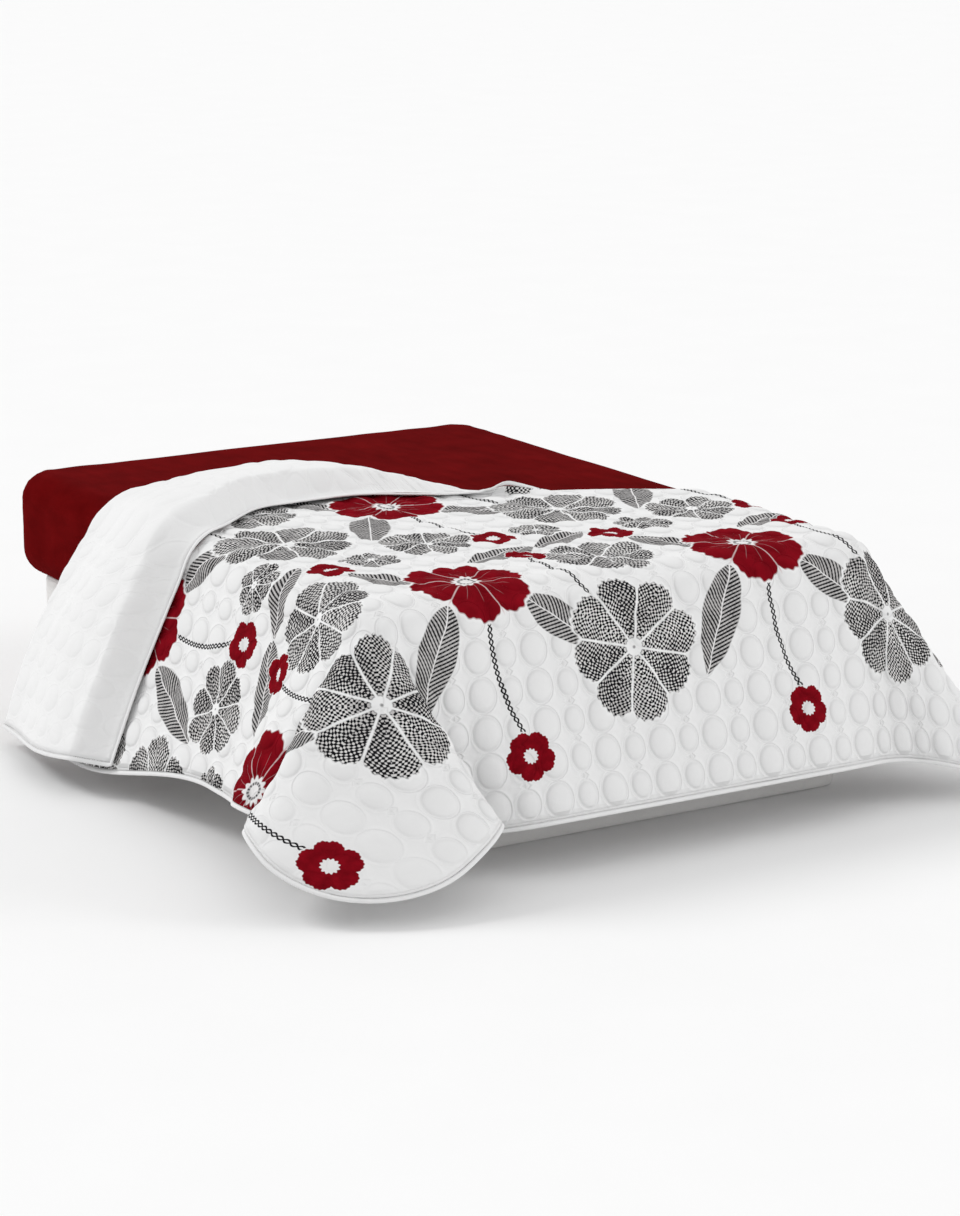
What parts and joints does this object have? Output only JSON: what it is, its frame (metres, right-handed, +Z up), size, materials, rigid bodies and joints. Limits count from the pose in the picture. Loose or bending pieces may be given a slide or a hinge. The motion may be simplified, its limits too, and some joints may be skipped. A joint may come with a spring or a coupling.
{
  "type": "quilt on a bed",
  "caption": "Quilted bedspread with its head end turned back, draped over a plain mattress and base with flared foot corners.",
  "frame": {"origin": "centre of the bed base's underside, on the floor", "axes": "+Y from the foot to the head of the bed, +X to the right as seen from the foot, +Z up"},
  "size_m": [2.166, 2.3617, 0.7621],
  "materials": {
    "quilt_cotton": "printed quilted cotton, matt",
    "binding_cotton": "plain cotton strip, matt",
    "red_sheet": "deep red cotton sheet, matt",
    "base_cloth": "pale woven cover, matt"
  },
  "bodies": {
    "root": {"quilt": "quilt_cotton", "quilt_binding": "binding_cotton", "mattress": "red_sheet", "bed_base": "base_cloth"}
  },
  "joints": []
}
